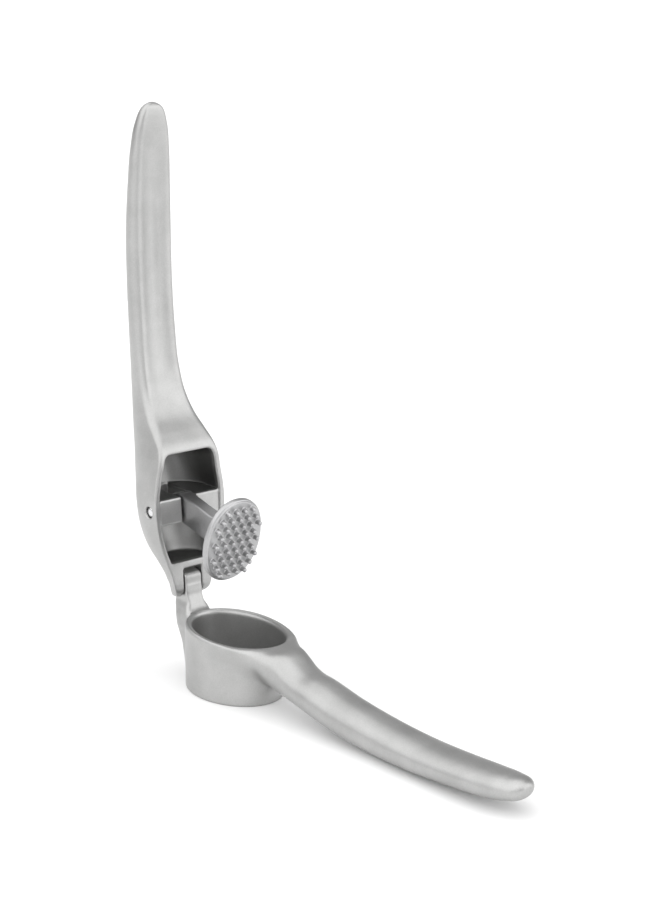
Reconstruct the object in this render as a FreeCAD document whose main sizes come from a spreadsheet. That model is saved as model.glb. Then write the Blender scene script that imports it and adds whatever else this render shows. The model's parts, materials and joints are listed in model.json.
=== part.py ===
import FreeCAD, Part
import math
import os
import Sketcher

V = FreeCAD.Vector
LEAST_CUT = 0.001  # a cut that takes away less than this, in cubic millimetres, has missed

# driving dimensions, in millimetres and degrees
SIZES = {
    # hinge between the two levers, and the lean of the open upper lever
    "hinge_x": -28.0, "hinge_z": 31.7, "lean_deg": 4.5,
    # pins and their holes: tight in the outer piece, running in the inner one
    "pin_radius": 1.65, "pin_bevel": 0.4, "bore_radius": 1.7,
    "hinge_pin_half": 5.8, "plunger_pin_half": 14.6,
    # plunger's pivot in the upper lever's own frame, and how far the plunger droops
    "pivot_forward": 2.5, "pivot_up": 27.45, "droop_deg": 13.2,
    # hinge block and ears of the upper lever
    "block_half": 8.9, "block_low": 4.2, "block_top": 8.2, "block_front": 5.3, "block_back": -6.6,
    "ear_half": 7.5, "ear_radius": 4.6, "ear_front": 5.3, "ear_back": -4.4,
    # round slot in which the tongue turns, and slot through the cross bar for the plunger's arm
    "tongue_slot_half": 3.9, "tongue_slot_top": 5.3, "tongue_slot_low": -6.0, "turn_radius": 6.75,
    "slot_back": -11.0, "slot_front": 9.0,
    "bar_slot_half": 3.2, "bar_slot_low": 21.4, "bar_slot_top": 32.4, "bar_slot_back": -4.2,
    # tongue and neck of the lower lever
    "tongue_half": 3.4, "tongue_radius": 3.9, "stem_front": -22.5, "stem_back": -29.8,
    "stem_low": 21.3, "stem_bend": 26.4, "stem_top": 34.8, "stem_foot": -18.6,
    # plunger: arm, plate and studs
    "arm_half": 2.75, "arm_up": 4.5, "arm_down": -5.2, "knuckle_radius": 4.7,
    "flare_half": 7.6, "flare_from": 19.1,
    "plate_face": 28.6, "plate_thick": 2.5, "plate_long": 15.1, "plate_wide": 11.6, "plate_sink": 0.3,
    "stud_radius": 0.62, "stud_high": 2.2, "stud_pitch": 3.45, "stud_row": 2.88,
    # sieve plate and the ledge that holds it
    "sieve_centre": 0.15, "sieve_long": 16.2, "sieve_wide": 12.35, "sieve_thick": 1.0, "hole_radius": 0.85,
    "ledge_long": 15.2, "ledge_wide": 11.3, "ledge_high": 0.5,
}
# studs of the plunger, and holes of the sieve, in each row along the hopper
ROW_COUNTS = [4, 5, 6, 5, 6, 5, 6, 5, 4]

# sections of the lofts, one row each: height, then the sizes that SECTION_SIZES names
SECTION_SIZES = {"dee": ("lift", "front", "half", "depth"), "ring": ("lift", "centre", "long", "wide")}
ARM = [
    (7.0, 5.0, 10.6, 12.0), (14.0, 5.5, 12.9, 16.1), (22.0, 6.0, 14.8, 18.4), (30.0, 6.3, 15.1, 19.6),
    (39.0, 6.8, 13.9, 21.6), (46.0, 7.2, 12.5, 23.4), (52.0, 4.6, 11.2, 21.8), (58.0, 0.2, 10.0, 17.7),
    (65.0, -3.4, 9.1, 14.2), (74.0, -5.3, 8.6, 12.2), (88.0, -5.9, 8.5, 11.2), (105.0, -5.8, 8.4, 10.7),
    (123.0, -4.8, 8.3, 10.3), (140.0, -3.3, 7.7, 8.9), (152.0, -2.0, 6.8, 7.8), (159.0, -1.2, 5.4, 6.4),
    (163.0, -1.0, 3.2, 4.0), (164.8, -1.2, 1.0, 1.6),
]
WINDOW = [(31.2, 8.6, 12.9, 19.6), (39.0, 9.2, 11.8, 21.7), (46.8, 9.8, 10.4, 23.3)]
LOWER_HOLLOW = [(8.4, 8.0, 9.2, 13.0), (12.6, 8.2, 10.6, 15.6), (22.4, 8.6, 12.8, 18.7)]
CUP = [(0.0, 0.0, 19.1, 14.7), (8.0, 0.1, 19.3, 14.7), (15.0, 0.9, 20.1, 14.9), (21.8, 1.8, 21.1, 15.3)]
HOLLOW = [(0.5, 0.15, 16.2, 12.35), (11.0, 1.45, 18.15, 12.95), (16.0, 1.9, 18.9, 13.2),
          (23.4, 2.35, 19.6, 13.5)]
NECK = [(5.0, -15.0, 4.2, 6.5), (10.0, -16.2, 4.4, 7.4), (16.0, -19.0, 5.8, 6.2), (21.8, -23.4, 5.0, 4.6),
        (26.0, -25.8, 3.9, 3.6)]
# distance along X, then height of the middle, half width and half height of the handle
HANDLE = [
    (14.0, 14.2, 12.0, 7.4), (22.0, 13.8, 10.8, 7.3), (31.0, 12.7, 9.3, 6.9), (44.0, 10.2, 8.5, 6.8),
    (58.0, 7.95, 8.2, 6.2), (75.0, 6.3, 8.0, 5.8), (92.0, 5.8, 7.9, 5.2), (109.0, 6.4, 7.7, 4.8),
    (123.0, 7.3, 7.0, 4.5), (131.0, 8.3, 5.6, 3.8), (135.5, 9.1, 3.0, 2.4), (137.0, 9.4, 1.0, 0.8),
]

doc = FreeCAD.newDocument("garlic_press")
sheet = doc.addObject("Spreadsheet::Sheet", "Dims")
D = {}


def cell(alias, value):
    """Puts one number in the sheet under its alias, and keeps it as the sketches' first guess."""
    D[alias] = value
    row = len(D)
    sheet.set("A%d" % row, alias)
    sheet.set("B%d" % row, str(value))
    sheet.setAlias("B%d" % row, alias)
    return alias


def section_cells(name, kind, rows):
    """Puts a loft's rows in the sheet, and gives each row's aliases in order."""
    table = []
    for number, row in enumerate(rows):
        prefix = "%s_%02d_" % (name, number)
        table.append([cell(prefix + size, value) for size, value in zip(SECTION_SIZES[kind], row)])
    return table


# ---------------------------------------------------------------- sketches
def new_body(label):
    body = doc.addObject("PartDesign::Body", label)
    body.Label = label
    return body


def sketch_on(body, role, name, lift=None):
    """A sketch on one of the body's own origin planes, lifted off it by a cell of the sheet."""
    base = next(feature for feature in body.Origin.OriginFeatures if feature.Role == role)
    sketch = body.newObject("Sketcher::SketchObject", name)
    sketch.AttachmentSupport = [(base, "")]
    sketch.MapMode = "FlatFace"
    if lift:
        sketch.setExpression("AttachmentOffset.Base.z", lift)
    return sketch


def bind(sketch, constraint, name, expression):
    number = sketch.addConstraint(constraint)
    sketch.renameConstraint(number, name)
    sketch.setExpression("Constraints." + name, expression)


def put_at(sketch, geometry, point, across, up):
    """Holds a point of the geometry at two cells' distances from the origin; None is an axis."""
    for word, size, axis in (("DistanceX", across, -2), ("DistanceY", up, -1)):
        if size:
            rule = Sketcher.Constraint(word, -1, 1, geometry, point, D[size])
            bind(sketch, rule, "%s_%d_%d" % (word.lower(), geometry, point), "Dims." + size)
        else:
            sketch.addConstraint(Sketcher.Constraint("PointOnObject", geometry, point, axis))


def circle(sketch, radius, across=None, up=None):
    centre = V(D[across] if across else 0, D[up] if up else 0, 0)
    ring = sketch.addGeometry(Part.Circle(centre, V(0, 0, 1), D[radius]), False)
    bind(sketch, Sketcher.Constraint("Radius", ring, D[radius]), "radius", "Dims." + radius)
    put_at(sketch, ring, 3, across, up)


def half_oval(centre, half_u, half_v):
    """An ellipse whose first axis is the longer one, as its maker needs."""
    if half_u >= half_v:
        return Part.Ellipse(centre + V(half_u, 0, 0), centre + V(0, half_v, 0), centre)
    return Part.Ellipse(centre + V(0, half_v, 0), centre - V(half_u, 0, 0), centre)


def oval(sketch, half_u, half_v, across=None, up=None):
    """A full ellipse with both axes bound to cells."""
    centre = V(D[across] if across else 0, D[up] if up else 0, 0)
    ring = sketch.addGeometry(half_oval(centre, D[half_u], D[half_v]), False)
    sketch.exposeInternalGeometry(ring)
    level = D[half_u] >= D[half_v]
    names = [half_u, half_v] if level else [half_v, half_u]
    long_axis = ring + 1
    for line, size in enumerate(names, start=long_axis):
        rule = Sketcher.Constraint("Distance", line, 2 * D[size])
        bind(sketch, rule, "axis_%d" % line, "2 * Dims." + size)
    sketch.addConstraint(Sketcher.Constraint("Horizontal" if level else "Vertical", long_axis))
    put_at(sketch, ring, 3, across, up)


def dee(sketch, front, half, depth):
    """A flat front edge with half an ellipse behind it."""
    centre = V(D[front], 0, 0)
    if D[depth] >= D[half]:
        curve = Part.Ellipse(centre - V(D[depth], 0, 0), centre - V(0, D[half], 0), centre)
        arc = sketch.addGeometry(Part.ArcOfEllipse(curve, -math.pi / 2, math.pi / 2), False)
    else:
        curve = Part.Ellipse(centre + V(0, D[half], 0), centre - V(D[depth], 0, 0), centre)
        arc = sketch.addGeometry(Part.ArcOfEllipse(curve, 0, math.pi), False)
    bow = sketch.Geometry[arc]
    edge = sketch.addGeometry(Part.LineSegment(bow.EndPoint, bow.StartPoint), False)
    sketch.addConstraint(Sketcher.Constraint("Coincident", arc, 2, edge, 1))
    sketch.addConstraint(Sketcher.Constraint("Coincident", edge, 2, arc, 1))
    sketch.addConstraint(Sketcher.Constraint("Vertical", edge))
    sketch.addConstraint(Sketcher.Constraint("PointOnObject", arc, 3, edge))
    sketch.exposeInternalGeometry(arc)
    depth_axis = edge + 1 if D[depth] >= D[half] else edge + 2
    bind(sketch, Sketcher.Constraint("Distance", depth_axis, 2 * D[depth]), "depth", "2 * Dims." + depth)
    bind(sketch, Sketcher.Constraint("Distance", edge, 2 * D[half]), "edge", "2 * Dims." + half)
    put_at(sketch, arc, 3, front, None)


def outline(sketch, corners):
    """A closed run of straight lines; a corner's place is a number, or the alias of a cell."""
    def value(place):
        return D[place] if isinstance(place, str) else place

    count = len(corners)
    spots = [V(value(u), value(v), 0) for u, v in corners]
    for number in range(count):
        sketch.addGeometry(Part.LineSegment(spots[number], spots[(number + 1) % count]), False)
    for number in range(count):
        sketch.addConstraint(Sketcher.Constraint("Coincident", number, 2, (number + 1) % count, 1))
    for number, corner in enumerate(corners):
        for word, place in zip(("DistanceX", "DistanceY"), corner):
            rule = Sketcher.Constraint(word, -1, 1, number, 1, value(place))
            if isinstance(place, str):
                bind(sketch, rule, "%s_%d" % (word.lower(), number), "Dims." + place)
            elif place:
                sketch.addConstraint(rule)


def stud_pattern(sketch, radius, rows_along_u):
    """Circles in staggered rows: the rows are stud_row apart, their members stud_pitch apart."""
    middle_row = (len(ROW_COUNTS) - 1) / 2
    for row, count in enumerate(ROW_COUNTS):
        for member in range(count):
            along = (row - middle_row) * D["stud_row"]
            across = (member - (count - 1) / 2) * D["stud_pitch"]
            spot = V(D["sieve_centre"] + along, across, 0) if rows_along_u else V(across, along, 0)
            ring = sketch.addGeometry(Part.Circle(spot, V(0, 0, 1), D[radius]), False)
            rule = Sketcher.Constraint("Radius", ring, D[radius])
            bind(sketch, rule, "radius_%d" % ring, "Dims." + radius)


# ---------------------------------------------------------------- features
def feature(body, kind, name, profile):
    made = body.newObject("PartDesign::" + kind, name)
    made.Profile = profile
    return made


def check_cut(cut):
    doc.recompute()
    if cut.BaseFeature.Shape.Volume - cut.Shape.Volume < LEAST_CUT:
        raise RuntimeError(cut.Name + " takes nothing away")


def pad(body, name, sketch, length):
    """Grows the sketch to one side by an expression of the sheet."""
    made = feature(body, "Pad", name, sketch)
    made.setExpression("Length", length)
    doc.recompute()
    return made


def pad_middle(body, name, sketch, half):
    """Grows the sketch to both sides by a cell of the sheet."""
    made = pad(body, name, sketch, "2 * Dims." + half)
    made.Midplane = True
    doc.recompute()


def pocket_middle(body, name, sketch, half=None):
    """Cuts to both sides: by a cell of the sheet, or all the way."""
    cut = feature(body, "Pocket", name, sketch)
    cut.Midplane = True
    if half:
        cut.setExpression("Length", "2 * Dims." + half)
    else:
        cut.Type = "ThroughAll"
    check_cut(cut)


def loft(body, kind, name, sketches):
    made = feature(body, kind, name, sketches[0])
    made.Sections = sketches[1:]
    doc.recompute()
    return made


def dee_loft(body, kind, name, rows):
    sketches = []
    for lift, front, half, depth in section_cells(name, "dee", rows):
        sketch = sketch_on(body, "XY_Plane", lift.replace("_lift", "_section"), "Dims." + lift)
        dee(sketch, front, half, depth)
        sketches.append(sketch)
    return loft(body, kind, name, sketches)


def ring_loft(body, kind, name, rows):
    sketches = []
    for lift, centre, long, wide in section_cells(name, "ring", rows):
        sketch = sketch_on(body, "XY_Plane", lift.replace("_lift", "_section"), "Dims." + lift)
        oval(sketch, long, wide, across=centre)
        sketches.append(sketch)
    return loft(body, kind, name, sketches)


# ---------------------------------------------------------------- upper handle
def build_upper_handle():
    """Own frame: origin on the hinge, Z along the handle, X towards its open front."""
    body = new_body("upper_handle")
    dee_loft(body, "AdditiveLoft", "arm", ARM)
    sketch = sketch_on(body, "XZ_Plane", "block_side")
    outline(sketch, [("ear_back", "block_low"), ("block_back", "block_top"), ("block_front", "block_top"),
                     ("block_front", "block_low")])
    pad_middle(body, "hinge_block", sketch, "block_half")
    sketch = sketch_on(body, "XZ_Plane", "ear_side")
    outline(sketch, [("ear_back", 0), ("ear_back", "block_top"), ("ear_front", "block_top"),
                     ("ear_front", 0)])
    pad_middle(body, "ear_plates", sketch, "ear_half")
    sketch = sketch_on(body, "XZ_Plane", "ear_round")
    circle(sketch, "ear_radius")
    pad_middle(body, "ear_ends", sketch, "ear_half")
    for name, rows in (("window", WINDOW), ("lower_hollow", LOWER_HOLLOW)):
        check_cut(dee_loft(body, "SubtractiveLoft", name, rows))
    sketch = sketch_on(body, "XZ_Plane", "bar_slot_side")
    outline(sketch, [("bar_slot_back", "bar_slot_low"), ("slot_front", "bar_slot_low"),
                     ("slot_front", "bar_slot_top"), ("bar_slot_back", "bar_slot_top")])
    pocket_middle(body, "bar_slot", sketch, "bar_slot_half")
    sketch = sketch_on(body, "XZ_Plane", "tongue_slot_side")
    outline(sketch, [("slot_back", "tongue_slot_low"), ("slot_front", "tongue_slot_low"),
                     ("slot_front", "tongue_slot_top"), ("slot_back", "tongue_slot_top")])
    pocket_middle(body, "tongue_slot", sketch, "tongue_slot_half")
    sketch = sketch_on(body, "XZ_Plane", "turn_circle")
    circle(sketch, "turn_radius")
    pocket_middle(body, "turn_space", sketch, "tongue_slot_half")
    for name, across, up in (("hinge_hole", None, None), ("plunger_hole", "pivot_forward", "pivot_up")):
        sketch = sketch_on(body, "XZ_Plane", name + "_circle")
        circle(sketch, "pin_radius", across, up)
        pocket_middle(body, name, sketch)
    lean = FreeCAD.Rotation(V(0, 1, 0), -D["lean_deg"])
    body.Placement = FreeCAD.Placement(V(D["hinge_x"], 0, D["hinge_z"]), lean)
    return body


# ---------------------------------------------------------------- lower handle
def build_lower_handle():
    """Hopper, handle, neck and hinge tongue, cast in one."""
    body = new_body("lower_handle")
    ring_loft(body, "AdditiveLoft", "cup", CUP)
    sketches = []
    for along, middle, wide, high in section_cells("handle", "ring", HANDLE):
        sketch = sketch_on(body, "YZ_Plane", along.replace("_lift", "_section"), "Dims." + along)
        oval(sketch, wide, high, up=middle)
        sketches.append(sketch)
    loft(body, "AdditiveLoft", "handle", sketches)
    ring_loft(body, "AdditiveLoft", "neck", NECK)
    sketch = sketch_on(body, "XZ_Plane", "stem_side")
    outline(sketch, [("stem_foot", "stem_low"), ("hinge_x", "stem_low"), ("stem_back", "stem_bend"),
                     ("stem_back", "hinge_z"), ("hinge_x", "stem_top"), ("stem_front", "stem_top"),
                     ("stem_front", "stem_bend")])
    pad_middle(body, "stem", sketch, "tongue_half")
    sketch = sketch_on(body, "XZ_Plane", "tongue_round")
    circle(sketch, "tongue_radius", "hinge_x", "hinge_z")
    pad_middle(body, "tongue", sketch, "tongue_half")
    check_cut(ring_loft(body, "SubtractiveLoft", "hollow", HOLLOW))
    sketch = sketch_on(body, "XY_Plane", "ledge_oval")
    oval(sketch, "ledge_long", "ledge_wide", across="sieve_centre")
    pocket_middle(body, "ledge", sketch, "sieve_thick")
    sketch = sketch_on(body, "XZ_Plane", "hinge_bore_circle")
    circle(sketch, "bore_radius", "hinge_x", "hinge_z")
    pocket_middle(body, "hinge_bore", sketch)
    return body


# ---------------------------------------------------------------- plunger
def build_plunger(pivot):
    """Own frame: origin on its pivot, X along the arm towards the plate."""
    body = new_body("plunger")
    cell("plate_back", D["plate_face"] - D["plate_thick"])
    sketch = sketch_on(body, "XZ_Plane", "arm_side")
    outline(sketch, [(0, "arm_down"), ("flare_from", "arm_down"), ("plate_back", "flare_down"),
                     ("plate_back", "flare_half"), ("flare_from", "arm_up"), (0, "arm_up")])
    pad_middle(body, "arm_bar", sketch, "arm_half")
    sketch = sketch_on(body, "XZ_Plane", "knuckle_round")
    circle(sketch, "knuckle_radius")
    pad_middle(body, "knuckle", sketch, "arm_half")
    sketch = sketch_on(body, "YZ_Plane", "plate_oval", "Dims.plate_back - Dims.plate_sink")
    oval(sketch, "plate_wide", "plate_long")
    pad(body, "plate", sketch, "Dims.plate_thick + Dims.plate_sink")
    sketch = sketch_on(body, "YZ_Plane", "stud_circles", "Dims.plate_face - Dims.plate_sink")
    stud_pattern(sketch, "stud_radius", rows_along_u=False)
    pad(body, "studs", sketch, "Dims.stud_high + Dims.plate_sink")
    sketch = sketch_on(body, "XZ_Plane", "pivot_bore_circle")
    circle(sketch, "bore_radius")
    pocket_middle(body, "pivot_bore", sketch)
    body.Placement = FreeCAD.Placement(pivot, FreeCAD.Rotation(V(0, 1, 0), D["droop_deg"]))
    return body


# ---------------------------------------------------------------- pins
def build_pin(label, half, place):
    """A bevelled pin along Y, turned about its own axis."""
    body = new_body(label)
    full, rim = cell(label + "_full", D[half]), cell(label + "_rim", D[half] - D["pin_bevel"])
    low, low_rim = cell(label + "_low", -D[full]), cell(label + "_low_rim", -D[rim])
    sketch = sketch_on(body, "XY_Plane", label + "_profile")
    outline(sketch, [(0, low), ("pin_flat", low), ("pin_radius", low_rim), ("pin_radius", rim),
                     ("pin_flat", full), (0, full)])
    turned = feature(body, "Revolution", label + "_turned", sketch)
    turned.ReferenceAxis = (sketch, ["V_Axis"])
    turned.Angle = 360.0
    body.Placement = FreeCAD.Placement(place, FreeCAD.Rotation())
    return body


# ---------------------------------------------------------------- sieve plate
def build_sieve_plate():
    body = new_body("sieve_plate")
    sketch = sketch_on(body, "XY_Plane", "sieve_oval", "Dims.ledge_high")
    oval(sketch, "sieve_long", "sieve_wide", across="sieve_centre")
    pad(body, "sieve_disc", sketch, "Dims.sieve_thick")
    sketch = sketch_on(body, "XY_Plane", "sieve_circles")
    stud_pattern(sketch, "hole_radius", rows_along_u=True)
    pocket_middle(body, "sieve_holes", sketch)
    return body


for alias, value in SIZES.items():
    cell(alias, value)
cell("flare_down", -D["flare_half"])
cell("pin_flat", D["pin_radius"] - D["pin_bevel"])
doc.recompute()

upper = build_upper_handle()
hinge = V(D["hinge_x"], 0, D["hinge_z"])
pivot = upper.Placement.multVec(V(D["pivot_forward"], 0, D["pivot_up"]))
bodies = [
    upper, build_lower_handle(), build_plunger(pivot), build_sieve_plate(),
    build_pin("hinge_pin", "hinge_pin_half", hinge), build_pin("plunger_pin", "plunger_pin_half", pivot),
]
doc.recompute()
for item in doc.Objects:
    if "Invalid" in item.State or "Error" in item.State:
        raise RuntimeError("%s: %s" % (item.Name, item.State))
for body in bodies:
    if body.Shape.isNull() or not body.Shape.isValid():
        raise RuntimeError(body.Label + " has no valid shape")
os.makedirs("parts", exist_ok=True)
for body in bodies:
    body.Shape.exportStep("parts/%s.step" % body.Label)
    print(body.Label, "solids:", len(body.Shape.Solids), "mm3:", round(body.Shape.Volume, 1))
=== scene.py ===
import json
import math

import bpy
import numpy as np
from mathutils import Matrix, Vector


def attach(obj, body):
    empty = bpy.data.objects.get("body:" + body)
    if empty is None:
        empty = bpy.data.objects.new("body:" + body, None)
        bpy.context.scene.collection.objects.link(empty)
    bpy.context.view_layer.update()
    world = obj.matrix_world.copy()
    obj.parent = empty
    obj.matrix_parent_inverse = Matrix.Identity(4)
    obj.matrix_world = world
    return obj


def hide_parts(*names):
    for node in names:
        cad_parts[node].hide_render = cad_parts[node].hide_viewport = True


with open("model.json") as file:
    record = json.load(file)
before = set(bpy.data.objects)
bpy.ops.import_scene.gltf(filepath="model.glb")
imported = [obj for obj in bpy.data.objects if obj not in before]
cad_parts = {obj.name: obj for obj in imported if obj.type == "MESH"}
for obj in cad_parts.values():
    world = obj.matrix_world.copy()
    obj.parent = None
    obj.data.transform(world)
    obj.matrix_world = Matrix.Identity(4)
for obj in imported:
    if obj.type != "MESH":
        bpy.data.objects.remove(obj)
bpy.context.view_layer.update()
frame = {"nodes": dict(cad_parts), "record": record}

MM = 0.001
joints = {joint["name"]: joint for joint in frame["record"]["behaviour"]["joints"]}
HINGE = np.array(joints["handle_hinge"]["pos_m"]) / MM
PIVOT = np.array(joints["plunger_pivot"]["pos_m"]) / MM
LEAN = math.radians(-4.5)
DROOP = math.radians(13.2)


# ------------------------------------------------------------- shape functions
# A shape is a function of x, y, z in millimetres: below zero inside, above zero outside.
def smooth_min(a, b, k):
    h = np.clip(0.5 + 0.5 * (b - a) / k, 0.0, 1.0)
    return b + (a - b) * h - k * h * (1.0 - h)


def smooth_max(a, b, k):
    return -smooth_min(-a, -b, k)


def oval(u, v, a, b, power=2.0):
    """An oval with half sizes a and b: power 2 is an ellipse, a higher one is squarer."""
    p, q = np.abs(u / a) + 1e-6, np.abs(v / b) + 1e-6
    g = (p ** power + q ** power) ** (1.0 / power)
    slope = g ** (1.0 - power) * np.sqrt((p ** (power - 1) / a) ** 2 + (q ** (power - 1) / b) ** 2)
    return (g - 1.0) / slope


def along(position, stations):
    """Smooth values between stations: rows of position, value, value, ..."""
    table = np.array(stations, dtype=float)
    x, values = table[:, 0], table[:, 1:]
    secant = np.diff(values, axis=0) / np.diff(x)[:, None]
    slope = np.zeros_like(values)
    slope[0], slope[-1] = secant[0], secant[-1]
    gap = np.diff(x)[:, None]
    slope[1:-1] = (secant[:-1] * gap[1:] + secant[1:] * gap[:-1]) / (gap[1:] + gap[:-1])
    flat = np.clip(position, x[0], x[-1])
    i = np.clip(np.searchsorted(x, flat, side="right") - 1, 0, len(x) - 2)
    width = x[i + 1] - x[i]
    t = (flat - x[i]) / width
    result = []
    for k in range(values.shape[1]):
        y0, y1 = values[i, k], values[i + 1, k]
        m0, m1 = slope[i, k] * width, slope[i + 1, k] * width
        result.append((2 * t**3 - 3 * t**2 + 1) * y0 + (t**3 - 2 * t**2 + t) * m0
                      + (3 * t**2 - 2 * t**3) * y1 + (t**3 - t**2) * m1)
    return result


def gradient(field, points, step=0.02):
    slopes = []
    for axis in range(3):
        shift = np.zeros(3)
        shift[axis] = step
        ahead = field(*(points + shift).T)
        behind = field(*(points - shift).T)
        slopes.append((ahead - behind) / (2 * step))
    return np.stack(slopes, axis=1)


def surface(field, low, high, step):
    """A quad mesh of the zero surface: one vertex per crossed cell, moved onto the surface."""
    axes = [np.arange(low[a], high[a] + step, step) for a in range(3)]
    grid = np.meshgrid(*axes, indexing="ij")
    values = field(*grid)
    inside = values < 0
    shape = tuple(n - 1 for n in inside.shape)
    count = np.zeros(shape, dtype=np.int8)
    for corner in np.ndindex(2, 2, 2):
        part = tuple(slice(c, c + n) for c, n in zip(corner, shape))
        count += inside[part]
    crossed = (count > 0) & (count < 8)
    number = np.full(shape, -1, dtype=np.int64)
    cells = np.argwhere(crossed)
    number[crossed] = np.arange(len(cells))
    total = np.zeros((len(cells), 3))
    weight = np.zeros(len(cells))
    i, j, k = cells.T
    for axis in range(3):
        others = [a for a in range(3) if a != axis]
        for da in (0, 1):
            for db in (0, 1):
                start = [i, j, k]
                start[others[0]] = start[others[0]] + da
                start[others[1]] = start[others[1]] + db
                stop = list(start)
                stop[axis] = stop[axis] + 1
                v0, v1 = values[tuple(start)], values[tuple(stop)]
                cut = (v0 < 0) != (v1 < 0)
                t = np.where(cut, v0 / np.where(cut, v0 - v1, 1.0), 0.0)
                spot = [start[a] + (t if a == axis else 0.0) for a in range(3)]
                total += np.stack(spot, axis=1) * cut[:, None]
                weight += cut
    points = total / weight[:, None] * step + np.array(low)
    for _ in range(4):
        value = field(*points.T)
        slope = gradient(field, points)
        size = (slope ** 2).sum(axis=1) + 1e-6
        move = slope * (value / size)[:, None]
        length = np.linalg.norm(move, axis=1, keepdims=True)
        points = points - move * np.minimum(1.0, 0.35 * step / (length + 1e-9))
    faces = []
    for axis in range(3):
        a, b = [(1, 2), (2, 0), (0, 1)][axis]
        lower = [slice(None)] * 3
        upper = [slice(None)] * 3
        lower[axis] = slice(0, -1)
        upper[axis] = slice(1, None)
        first, second = inside[tuple(lower)], inside[tuple(upper)]
        leaving, entering = np.argwhere(first & ~second), np.argwhere(~first & second)
        for flip, edges in ((False, leaving), (True, entering)):
            good = (edges[:, a] > 0) & (edges[:, b] > 0)
            good &= (edges[:, a] < shape[a]) & (edges[:, b] < shape[b])
            edges = edges[good]
            ring = []
            for da, db in ((1, 1), (0, 1), (0, 0), (1, 0)):
                cell = edges.copy()
                cell[:, a] -= da
                cell[:, b] -= db
                ring.append(number[tuple(cell.T)])
            quad = np.stack(ring, axis=1)
            faces.append(quad[:, ::-1] if flip else quad)
    return points, np.concatenate(faces)


def place(points, origin, angle):
    """Turns points about +Y, as a right-hand turn, and moves them to origin."""
    c, s = math.cos(angle), math.sin(angle)
    x, y, z = points.T
    return np.stack([x * c + z * s, y, -x * s + z * c], axis=1) + np.array(origin)


def piece(name, points, faces):
    mesh = bpy.data.meshes.new(name)
    mesh.vertices.add(len(points))
    mesh.vertices.foreach_set("co", (points * MM).astype(np.float32).ravel())
    mesh.loops.add(faces.size)
    mesh.loops.foreach_set("vertex_index", faces.astype(np.int32).ravel())
    mesh.polygons.add(len(faces))
    mesh.polygons.foreach_set("loop_start", np.arange(0, faces.size, faces.shape[1], dtype=np.int32))
    mesh.polygons.foreach_set("use_smooth", np.ones(len(faces), dtype=bool))
    mesh.update(calc_edges=True)
    mesh.validate()
    thing = bpy.data.objects.new(name, mesh)
    bpy.context.scene.collection.objects.link(thing)
    return thing


# --------------------------------------------------------------- upper handle
# own frame: x towards the open front, z along the handle, origin on the hinge
# z, front face, back face, half width, place of the widest point, power of the oval
UPPER = [
    (-6.0, 5.3, -4.2, 6.4, 4.8, 1.75), (0.0, 5.3, -4.4, 8.3, 4.8, 1.75), (4.0, 5.35, -5.6, 9.3, 4.6, 1.8),
    (8.0, 5.4, -7.4, 10.8, 4.0, 1.9), (14.0, 5.6, -10.6, 13.0, 2.4, 2.05),
    (22.0, 6.0, -12.4, 14.8, 1.0, 2.15),
    (30.0, 6.3, -13.3, 15.2, 0.4, 2.15), (39.0, 6.8, -14.8, 14.0, 0.0, 2.15),
    (46.0, 7.3, -16.2, 12.6, -0.8, 2.15), (49.0, 6.4, -16.7, 11.9, -1.6, 2.15),
    (53.0, 3.8, -17.2, 11.1, -3.2, 2.15), (58.0, 0.0, -17.5, 10.2, -5.2, 2.15),
    (65.0, -3.4, -17.6, 9.3, -7.2, 2.15), (74.0, -5.3, -17.5, 8.8, -8.2, 2.15),
    (88.0, -5.9, -17.1, 8.6, -8.6, 2.15), (105.0, -5.8, -16.5, 8.6, -8.2, 2.15),
    (123.0, -4.8, -15.1, 8.5, -7.0, 2.15), (138.0, -3.5, -12.7, 8.0, -5.6, 2.15),
    (150.0, -2.2, -10.3, 7.2, -4.4, 2.15), (158.0, -1.2, -7.9, 5.9, -3.4, 2.15),
    (163.0, -0.9, -5.4, 3.9, -2.8, 2.1), (166.0, -1.3, -3.0, 1.2, -2.2, 2.0),
]
# z, depth and half width of the finger channel down the arm's front
CHANNEL = [(48.0, 0.0, 8.4), (62.0, 0.5, 8.0), (74.0, 1.3, 7.2), (90.0, 1.7, 6.8), (140.0, 1.5, 6.2),
           (152.0, 0.9, 5.2), (160.0, 0.2, 3.4), (166.0, 0.0, 2.4)]
# z, rounding between the arm's front and its sides
EDGE = [(-6.0, 0.9), (40.0, 1.0), (47.0, 1.3), (54.0, 2.4), (65.0, 3.2), (150.0, 2.8),
        (160.0, 2.0), (166.0, 1.0)]
TIP = 165.2
# ovals round the ears from the side and from the front: centre, half sizes, power
EAR = (0.8, 0.2, 4.7, 5.1, 2.1)
EAR_SIDES = (0.0, 4.0, 9.6, 9.3, 2.6)
WALL = 2.3
BAR_LOW, BAR_HIGH, BAR_FRONT = 22.4, 31.2, 5.65
WINDOW_TOP, BLOCK_TOP = 46.8, 8.4
# slopes of the window's top, the bar's top and underside and the block's top, per millimetre of depth
TOP_TILT, BAR_TILT, BAR_UNDER_TILT, BLOCK_TILT = 0.10, 0.11, 0.03, 0.10
TOP_FROM, BLOCK_FROM = 7.0, 5.0
# half width and back end of the arm's slot, and how far it runs past the bar below and above
BAR_SLOT, BAR_SLOT_BACK, BAR_SLOT_BELOW, BAR_SLOT_ABOVE = 3.3, 11.0, 1.6, 2.4
TONGUE_SLOT, SLOT_TOP, TURN_R = 3.95, 6.0, 7.1
PIVOT_S, PIVOT_N = 27.45, 2.5
PIN_R, PIVOT_HOLE_R, HINGE_HOLE_R = 1.65, 2.0, 1.9
FAR = 40.0


def upper_section(x, y, z):
    front, back, half, middle, power = along(z, UPPER)
    depth = np.where(x < middle, middle - back, FAR)
    return oval(y, x - middle, half, depth, power), front


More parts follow.
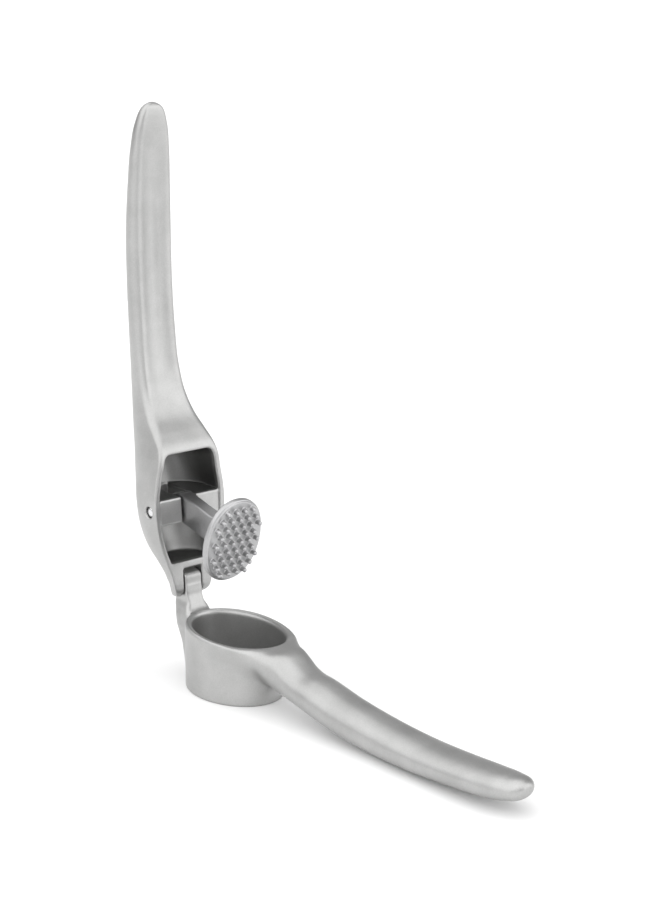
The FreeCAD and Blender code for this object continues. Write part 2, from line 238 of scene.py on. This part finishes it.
def upper_handle(x, y, z):
    side, front = upper_section(x, y, z)
    deep, wide = along(z, CHANNEL)
    channel = deep * np.clip(1.0 - (y / wide) ** 2, 0.0, 1.0) ** 1.5
    shape = smooth_max(side, x - front + channel, along(z, EDGE)[0])
    shape = smooth_max(shape, z - TIP, 2.5)
    # ears: round ends about the hinge pin
    middle, level, *shape_of_ear = EAR
    ear = oval(x - middle, z - level, *shape_of_ear)
    shape = smooth_max(shape, np.where(z < level, ear, -FAR), 0.5)
    middle, level, *shape_of_sides = EAR_SIDES
    sides = oval(y - middle, z - level, *shape_of_sides)
    shape = np.where(z < level, smooth_max(shape, sides, 0.9), shape)
    # hollows above and below the bar
    top = WINDOW_TOP - TOP_TILT * (TOP_FROM - x)
    bar_high = BAR_HIGH + BAR_TILT * (BAR_FRONT - x)
    bar_low = BAR_LOW - BAR_UNDER_TILT * (BAR_FRONT - x)
    block = BLOCK_TOP + BLOCK_TILT * (BLOCK_FROM - x)
    inner = side + WALL
    window = smooth_max(inner, z - top, 2.6)
    window = smooth_max(window, bar_high - z, 0.4)
    lower = smooth_max(inner, np.maximum(z - bar_low, block - z), 0.6)
    shape = smooth_max(shape, -window, 0.9)
    shape = smooth_max(shape, -lower, 0.6)
    # the bar's front face lies a little behind the rim
    bar = np.maximum(np.maximum(bar_low - z, z - bar_high), np.maximum(BAR_FRONT - x, inner))
    shape = smooth_max(shape, -bar, 0.4)
    slot = np.maximum(np.abs(y) - BAR_SLOT, -x - BAR_SLOT_BACK)
    slot = np.maximum(slot, np.maximum(BAR_LOW - BAR_SLOT_BELOW - z, z - BAR_HIGH - BAR_SLOT_ABOVE))
    shape = smooth_max(shape, -slot, 0.35)
    # round slot in which the tongue turns
    turn = np.minimum(np.hypot(x, z) - TURN_R, z - SLOT_TOP)
    gap = smooth_max(np.abs(y) - TONGUE_SLOT, turn, 0.9)
    shape = smooth_max(shape, -gap, 0.45)
    # pin holes
    shape = smooth_max(shape, PIVOT_HOLE_R - np.hypot(x - PIVOT_N, z - PIVOT_S), 0.35)
    return smooth_max(shape, HINGE_HOLE_R - np.hypot(x, z), 0.3)


def painted_recess_shade(points):
    """Painted shade mask: 1 on up-facing faces inside the housing and on faces above the bar that turn
    towards -Y, 0 elsewhere.
    """
    x, y, z = points.T
    side, front = upper_section(x, y, z)
    normal = gradient(upper_handle, points)
    normal /= np.linalg.norm(normal, axis=1, keepdims=True) + 1e-9
    inside = np.clip(-side - 1.2, 0.0, 1.0) * np.clip(front - 1.5 - x, 0.0, 1.0)
    level = np.clip((normal[:, 2] - 0.5) / 0.3, 0.0, 1.0)
    window = np.clip(z - BAR_HIGH, 0.0, 1.0) * np.clip((-normal[:, 1]) / 0.3, 0.0, 1.0)
    return inside * np.maximum(level, window)


# --------------------------------------------------------------- lower handle
# z, centre, half length, half width of the cup
CUP = [(-1.0, 0.0, 19.3, 15.1), (0.0, 0.0, 19.3, 15.1), (8.0, 0.1, 19.5, 15.2), (15.0, 0.9, 20.2, 15.4),
       (22.0, 1.7, 21.1, 15.8), (26.0, 2.1, 21.6, 16.0)]
HOLLOW = [(-1.0, 0.0, 16.1, 12.3), (0.5, 0.15, 16.2, 12.35), (11.0, 1.45, 18.15, 12.95),
          (16.0, 1.9, 18.9, 13.2), (23.4, 2.35, 19.6, 13.5), (26.0, 2.5, 19.9, 13.6)]
HOLLOW_FLOOR = 1.5
# opening through the floor: centre, half length, half width
FLOOR_HOLE = (0.15, 15.2, 11.3)
# x, height of the widest line, half width, height above and below that line, power of the handle
LEVER = [
    (8.0, 20.5, 13.4, 2.1, 11.0, 2.4), (14.0, 20.5, 12.7, 2.1, 11.6, 2.4), (18.0, 20.1, 11.6, 2.5, 12.2, 2.4),
    (21.5, 18.7, 10.3, 3.9, 11.4, 2.4), (25.0, 16.6, 9.3, 5.8, 9.8, 2.5), (28.5, 15.0, 8.7, 7.0, 8.7, 2.5),
    (31.5, 13.8, 8.3, 7.0, 7.8, 2.4), (35.0, 12.4, 8.1, 6.3, 6.9, 2.3), (39.0, 11.3, 8.15, 6.0, 6.3, 2.2),
    (45.0, 10.3, 8.3, 6.3, 6.35, 2.15), (58.0, 8.0, 8.2, 6.2, 6.2, 2.15),
    (75.0, 6.3, 8.0, 5.9, 5.9, 2.15), (92.0, 5.75, 8.0, 5.3, 5.3, 2.15), (109.0, 6.35, 7.8, 4.8, 4.8, 2.15),
    (122.0, 7.2, 7.3, 4.6, 4.6, 2.15), (130.0, 8.1, 6.4, 4.1, 4.1, 2.1), (134.5, 8.8, 4.9, 3.3, 3.3, 2.0),
    (137.0, 9.3, 2.4, 1.9, 1.9, 2.0),
]
# x, how far the handle narrows towards its underside
PINCH = [(8.0, 0.50), (20.0, 0.55), (30.0, 0.32), (44.0, 0.10), (60.0, 0.0)]
# z, front, back, half width and power of the neck, up to the tongue
NECK = [
    (-1.0, -14.0, -18.2, 5.0, 2.2), (5.0, -13.5, -18.8, 6.4, 2.2), (8.0, -13.5, -19.4, 7.2, 2.3),
    (11.0, -13.5, -21.6, 7.4, 2.4), (13.0, -14.0, -23.2, 7.0, 2.6), (16.0, -15.0, -25.6, 6.4, 3.0),
    (19.0, -16.6, -27.3, 6.0, 3.6), (22.0, -18.8, -28.5, 5.5, 5.0), (24.0, -20.0, -29.2, 4.7, 7.0),
    (25.8, -21.0, -29.7, 3.7, 8.0), (28.0, -21.9, -29.9, 3.6, 8.0), (30.0, -22.3, -29.9, 3.55, 8.0),
    (40.0, -22.5, -29.9, 3.55, 8.0),
]
# x, width of the blend from cup to handle; z, width of the blend from cup to neck
ROOT_BLEND = [(0.0, 2.0), (14.0, 4.0), (30.0, 4.0), (44.0, 2.0)]
NECK_BLEND = [(0.0, 4.0), (18.0, 3.0), (23.0, 1.6), (30.0, 0.4)]
# share by which the neck's back is narrower, the height where that sets in and the height it takes
NECK_TAPER, NECK_TAPER_LOW, NECK_TAPER_RUN = 0.26, 18.0, 5.0
# height of the rim at x = 0, its fall per millimetre, and the x from which it stays level
RIM_Z, RIM_FALL, RIM_LEVEL = 22.4, 0.045, 14.0
# half width of the tongue, and the oval of its head: centre from the hinge, half sizes, power
TONGUE = 3.45
HEAD = (0.9, 5.4, 4.9, 2.4)
LEVER_START = 4.0
LOWER_HOLE_R = 1.95
HANDLE_END = 137.0


def lower_handle(x, y, z):
    middle, long, wide = along(z, CUP)
    cup = oval(x - middle, y, long, wide)
    height, half, above, below, power = along(x, LEVER)
    sunk = np.clip((height - z) / below, 0.0, 1.0) ** 1.5
    half = half * (1.0 - along(x, PINCH)[0] * sunk)
    lever = oval(y, z - height, half, np.where(z > height, above, below), power)
    lever = smooth_max(lever, x - HANDLE_END, 1.5)
    lever = smooth_max(lever, LEVER_START - x, 3.0)
    shape = smooth_min(cup, lever, along(x, ROOT_BLEND)[0])
    # the rim falls towards the handle, whose root is cut level with it
    shape = smooth_max(shape, z - RIM_Z + RIM_FALL * np.minimum(x, RIM_LEVEL), 1.5)
    front, back, half, power = along(z, NECK)
    taper = NECK_TAPER * np.clip((z - NECK_TAPER_LOW) / NECK_TAPER_RUN, 0.0, 1.0)
    half = half * (1.0 - taper * np.clip((front - x) / (front - back), 0.0, 1.0))
    neck = oval(x - (front + back) / 2, y, (front - back) / 2, half, power)
    # round head of the neck about the hinge pin: the tongue
    tx, tz = x - HINGE[0], z - HINGE[2]
    neck = np.maximum(neck, tz)
    centre, *shape_of_head = HEAD
    tongue = smooth_max(oval(tx - centre, tz, *shape_of_head), x - front, 0.4)
    tongue = smooth_max(smooth_min(tongue, neck, 0.6), np.abs(y) - TONGUE, 0.5)
    neck = smooth_min(neck, tongue, 0.4)
    shape = smooth_min(shape, neck, along(z, NECK_BLEND)[0])
    # hollow of the cup
    middle, long, wide = along(z, HOLLOW)
    hollow = oval(x - middle, y, long, wide)
    shape = smooth_max(shape, -np.maximum(hollow, HOLLOW_FLOOR - z), 1.7)
    middle, long, wide = FLOOR_HOLE
    shape = smooth_max(shape, -oval(x - middle, y, long, wide), 0.3)
    # flat base and hinge bore
    shape = smooth_max(shape, -z, 0.7)
    return smooth_max(shape, LOWER_HOLE_R - np.hypot(tx, tz), 0.3)


# -------------------------------------------------------------------- plunger
# own frame: origin on its pivot, x along the arm
FACE, PLATE_T, PLATE_LONG, PLATE_WIDE = 28.6, 2.5, 15.2, 11.7
STUD_ROWS = [4, 5, 6, 5, 6, 5, 6, 5, 4]
STUD_PITCH, STUD_ROW, STUD_H, STUD_R = 3.45, 2.88, 2.3, 0.78
ARM_HALF, KNUCKLE_R, PLUNGER_HOLE_R, LIP = 2.75, 4.75, 1.9, 0.5
# x, top and bottom of the arm; x, how far its sides spread into the plate
ARM = [(-6.0, 4.75, -4.75), (6.0, 4.6, -4.9), (18.0, 4.5, -5.3), (23.0, 4.8, -5.7), (26.5, 6.6, -7.2)]
SPREAD = [(-6.0, 0.0), (20.0, 0.0), (24.0, 0.25), (26.3, 1.3)]


def stud_places():
    places = []
    for row, count in enumerate(STUD_ROWS):
        for k in range(count):
            places.append(((k - (count - 1) / 2) * STUD_PITCH, (row - 4) * STUD_ROW))
    return places


def plunger(x, y, z):
    # arm: flat sides, top and bottom flaring into the plate
    above, below = along(x, ARM)
    arm = np.maximum(z - above, below - z)
    arm = smooth_max(arm, x - FACE + 1.0, 0.3)
    knuckle = np.hypot(x, z) - KNUCKLE_R
    arm = np.where(x > 0, arm, knuckle)
    spread = along(x, SPREAD)[0]
    arm = smooth_max(arm, np.abs(y) - ARM_HALF - spread, 0.55)
    plate = oval(y, z, PLATE_WIDE, PLATE_LONG, 2.15)
    step = oval(y, z, PLATE_WIDE - LIP, PLATE_LONG - LIP, 2.15)
    body = smooth_max(plate, np.abs(x - FACE + PLATE_T / 2 + 0.25) - PLATE_T / 2 + 0.25, 0.6)
    face = smooth_max(step, np.abs(x - FACE + 0.8) - 0.8, 0.4)
    plate = smooth_min(body, face, 0.25)
    shape = smooth_min(arm, plate, 1.0)
    near = x > FACE - 1.2
    studs = np.full(np.shape(x), 9.0)
    if np.any(near):
        nx, ny, nz = x[near], y[near], z[near]
        best = np.full(nx.shape, 9.0)
        for py, pz in stud_places():
            best = np.minimum(best, np.hypot(ny - py, nz - pz))
        rise = nx - FACE
        studs[near] = np.hypot(best, np.maximum(rise - STUD_H + STUD_R, 0.0)) - STUD_R
    shape = smooth_min(shape, studs, 0.3)
    return smooth_max(shape, PLUNGER_HOLE_R - np.hypot(x, z), 0.25)


# ----------------------------------------------------------------------- pins
PIN_DOME = 0.55
HINGE_ROD_HALF, PIVOT_ROD_HALF = 5.0, 14.7


def pin(half):
    """A turned pin along Y with domed ends."""
    profile = []
    for k in range(9):
        angle = math.radians(90 * k / 8)
        profile.append((PIN_R * math.sin(angle), half - PIN_DOME + PIN_DOME * math.cos(angle)))
    profile += [(PIN_R, half - 1.2), (PIN_R, 0.0)]
    profile += [(r, -h) for r, h in reversed(profile[:-1])]
    around = 48
    points, faces = [], []
    for r, h in profile:
        for k in range(around):
            angle = 2 * math.pi * k / around
            points.append((r * math.cos(angle), h, r * math.sin(angle)))
    for i in range(len(profile) - 1):
        for k in range(around):
            a, b = i * around + k, i * around + (k + 1) % around
            faces.append((a, b, b + around, a + around))
    return np.array(points), np.array(faces)


# ------------------------------------------------------------------ materials
def material(name):
    made = bpy.data.materials.new(name)
    made.use_nodes = True
    return made, made.node_tree.nodes, made.node_tree.links


def noise(nodes, links, source, scale, detail, roughness=0.6):
    node = nodes.new("ShaderNodeTexNoise")
    node.inputs["Scale"].default_value = scale
    node.inputs["Detail"].default_value = detail
    node.inputs["Roughness"].default_value = roughness
    links.new(source, node.inputs["Vector"])
    return node


def ramp(nodes, links, value, low, high, dark, light):
    node = nodes.new("ShaderNodeValToRGB")
    node.color_ramp.elements[0].position = low
    node.color_ramp.elements[1].position = high
    node.color_ramp.elements[0].color = (*dark, 1)
    node.color_ramp.elements[1].color = (*light, 1)
    links.new(value, node.inputs["Fac"])
    return node


def cast_aluminium(name, dark, light, rough=0.42, grain=0.35):
    """Bead-blasted casting: fine grain, faint clouding, soft sheen, and painted shade where the mesh carries
    a shade mask.
    """
    made, nodes, links = material(name)
    shader = nodes["Principled BSDF"]
    shader.inputs["Metallic"].default_value = 1.0
    where = nodes.new("ShaderNodeTexCoord").outputs["Object"]
    cloud = noise(nodes, links, where, 90, 4)
    fine = noise(nodes, links, where, 2600, 3, 0.7)
    colour = ramp(nodes, links, cloud.outputs["Fac"], 0.35, 0.65, dark, light)
    speck = ramp(nodes, links, fine.outputs["Fac"], 0.3, 0.7, (0.86,) * 3, (1.0,) * 3)
    mix = nodes.new("ShaderNodeMix")
    mix.data_type = "RGBA"
    mix.blend_type = "MULTIPLY"
    mix.inputs["Factor"].default_value = 1.0
    links.new(colour.outputs["Color"], mix.inputs["A"])
    links.new(speck.outputs["Color"], mix.inputs["B"])
    # painted shade: halves the base colour where the mesh's shade attribute is 1
    painted_shade_mix = nodes.new("ShaderNodeMix")
    painted_shade_mix.data_type = "RGBA"
    painted_shade_mix.blend_type = "MULTIPLY"
    painted_shade_mix.inputs["B"].default_value = (0.5, 0.5, 0.5, 1)
    painted_shade_mask = nodes.new("ShaderNodeAttribute")
    painted_shade_mask.attribute_name = "painted_recess_shade"
    links.new(painted_shade_mask.outputs["Fac"], painted_shade_mix.inputs["Factor"])
    links.new(mix.outputs["Result"], painted_shade_mix.inputs["A"])
    links.new(painted_shade_mix.outputs["Result"], shader.inputs["Base Color"])
    spread = nodes.new("ShaderNodeMapRange")
    spread.inputs["To Min"].default_value = rough - 0.04
    spread.inputs["To Max"].default_value = rough + 0.05
    links.new(fine.outputs["Fac"], spread.inputs["Value"])
    links.new(spread.outputs["Result"], shader.inputs["Roughness"])
    bump = nodes.new("ShaderNodeBump")
    bump.inputs["Strength"].default_value = grain
    bump.inputs["Distance"].default_value = 0.00006
    links.new(fine.outputs["Fac"], bump.inputs["Height"])
    links.new(bump.outputs["Normal"], shader.inputs["Normal"])
    return made


def brushed_steel(name, tint, rough):
    """Turned or rolled steel: streaks drawn out along Y."""
    made, nodes, links = material(name)
    shader = nodes["Principled BSDF"]
    shader.inputs["Metallic"].default_value = 1.0
    where = nodes.new("ShaderNodeTexCoord").outputs["Object"]
    stretch = nodes.new("ShaderNodeMapping")
    stretch.inputs["Scale"].default_value = (1.0, 0.06, 1.0)
    links.new(where, stretch.inputs["Vector"])
    streak = noise(nodes, links, stretch.outputs["Vector"], 3000, 2)
    dark = tuple(0.86 * c for c in tint)
    colour = ramp(nodes, links, streak.outputs["Fac"], 0.3, 0.7, dark, tint)
    links.new(colour.outputs["Color"], shader.inputs["Base Color"])
    spread = nodes.new("ShaderNodeMapRange")
    spread.inputs["To Min"].default_value = rough - 0.05
    spread.inputs["To Max"].default_value = rough + 0.07
    links.new(streak.outputs["Fac"], spread.inputs["Value"])
    links.new(spread.outputs["Result"], shader.inputs["Roughness"])
    return made


casting = cast_aluminium("cast_aluminium", (0.46, 0.46, 0.455), (0.52, 0.52, 0.515))
stamped = cast_aluminium("plunger_aluminium", (0.46, 0.46, 0.465), (0.53, 0.53, 0.535), rough=0.38)
pin_steel = brushed_steel("pin_steel", (0.80, 0.80, 0.81), 0.22)
sieve_steel = brushed_steel("sieve_steel", (0.62, 0.62, 0.63), 0.34)


def add(name, body, node, made, points, faces):
    thing = piece(name, points, faces)
    thing.data.materials.append(made)
    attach(thing, body)
    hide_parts(node)
    return thing


STEP = 0.45
FINE_STEP = 0.2
points, faces = surface(upper_handle, (-20, -17, -7), (11, 17, 168), STEP)
upper = add("upper_casting", "upper_lever", "upper_handle", casting,
            place(points, HINGE, LEAN), faces)
# painted shade: stores the mask that darkens the housing's recesses for the material
painted_shade_mask = upper.data.attributes.new("painted_recess_shade", "FLOAT", "POINT")
painted_shade_mask.data.foreach_set("value", painted_recess_shade(points).astype(np.float32))
points, faces = surface(lower_handle, (-34, -18, -2), (139, 18, 38), STEP)
add("lower_casting", "lower_lever", "lower_handle", casting, points, faces)
points, faces = surface(plunger, (-6, -13, -16.5), (32, 13, 16.5), FINE_STEP)
add("plunger_casting", "plunger_arm", "plunger", stamped,
    place(points, PIVOT, DROOP), faces)
rods = (("hinge_rod", "hinge_pin", HINGE_ROD_HALF, HINGE),
        ("pivot_rod", "plunger_pin", PIVOT_ROD_HALF, PIVOT))
for name, node, half, centre in rods:
    points, faces = pin(half)
    add(name, "upper_lever", node, pin_steel, points + centre, faces)
sieve = frame["nodes"]["sieve_plate"]
sieve.material_slots[0].material = sieve_steel

# --------------------------------------------------------------------- studio
scene = bpy.context.scene
scene.view_settings.view_transform = "Standard"


def flat(name, colour, rough):
    made, nodes, links = material(name)
    nodes["Principled BSDF"].inputs["Base Color"].default_value = (*colour, 1)
    nodes["Principled BSDF"].inputs["Roughness"].default_value = rough
    return made


FLOOR_HALF = 60000.0
floor = piece("floor", FLOOR_HALF * np.array([(-1, -1, 0), (1, -1, 0), (1, 1, 0), (-1, 1, 0)], float),
              np.array([(0, 1, 2, 3)]))
floor.data.materials.append(flat("floor_paper", (0.93, 0.93, 0.93), 0.9))


def dome(name, tilt, turn, spread, strength):
    """A soft lamp: spread is the angle it fills, tilt its lean off the zenith, turn its azimuth."""
    light = bpy.data.lights.new(name, "SUN")
    light.angle = math.radians(spread)
    light.energy = strength
    lamp = bpy.data.objects.new(name, light)
    lamp.rotation_euler = (math.radians(tilt), 0, math.radians(turn))
    scene.collection.objects.link(lamp)


dome("tent", 29, 2, 115, 2.65)
dome("side", 76, 126, 72, 1.45)

world = bpy.data.worlds.new("studio")
world.use_nodes = True
world.node_tree.nodes["Background"].inputs["Color"].default_value = (1, 1, 1, 1)
world.node_tree.nodes["Background"].inputs["Strength"].default_value = 0.48
scene.world = world

# --------------------------------------------------------------------- camera
azimuth, elevation, roll = math.radians(48.39), math.radians(14.6), math.radians(0.54)
reach = math.cos(elevation)
back = Vector((math.sin(azimuth) * reach, -math.cos(azimuth) * reach, math.sin(elevation)))
right = Vector((math.cos(azimuth), math.sin(azimuth), 0.0))
up = back.cross(right)
right, up = right * math.cos(roll) + up * math.sin(roll), up * math.cos(roll) - right * math.sin(roll)
lens = bpy.data.cameras.new("camera")
lens.sensor_width = 36.0
lens.lens = 79.05
lens.clip_start = 0.01
camera = bpy.data.objects.new("camera", lens)
aim, distance = Vector((0.04806, 0.0, 0.09407)), 0.61993
turned = Matrix((right, up, back)).transposed().to_4x4()
camera.matrix_world = Matrix.Translation(aim + back * distance) @ turned
scene.collection.objects.link(camera)
scene.camera = camera
